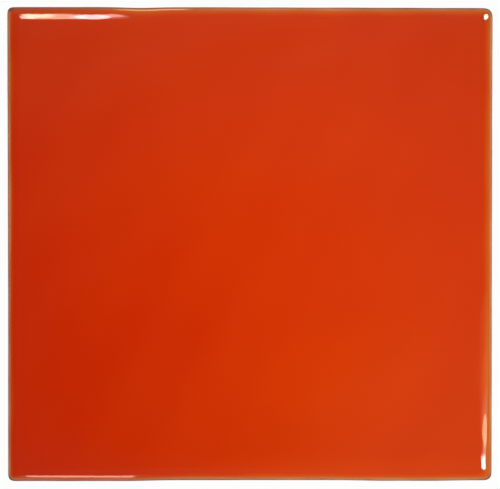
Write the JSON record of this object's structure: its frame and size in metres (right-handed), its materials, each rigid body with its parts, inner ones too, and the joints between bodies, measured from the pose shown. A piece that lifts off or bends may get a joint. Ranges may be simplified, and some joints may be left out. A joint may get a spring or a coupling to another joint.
{
  "type": "ceramic wall tile",
  "caption": "Nearly square ceramic wall tile with a glossy orange-red glaze, a rolled cushion edge, softened corners and a waffle-keyed bed face for adhesive.",
  "frame": {"origin": "middle of the bed face, in the plane of its ribs", "axes": "+Z out of the glazed face, +X across the tile along its longer side, +Y up the tile as the picture shows it"},
  "size_m": [0.105, 0.1024, 0.007],
  "materials": {
    "glazed_earthenware": "glossy orange-red glaze on the face and the upper sides, breaking to orange-brown where it thins over the edge; bare fired clay on the bed face"
  },
  "bodies": {
    "root": {"tile": "glazed_earthenware"}
  },
  "joints": []
}
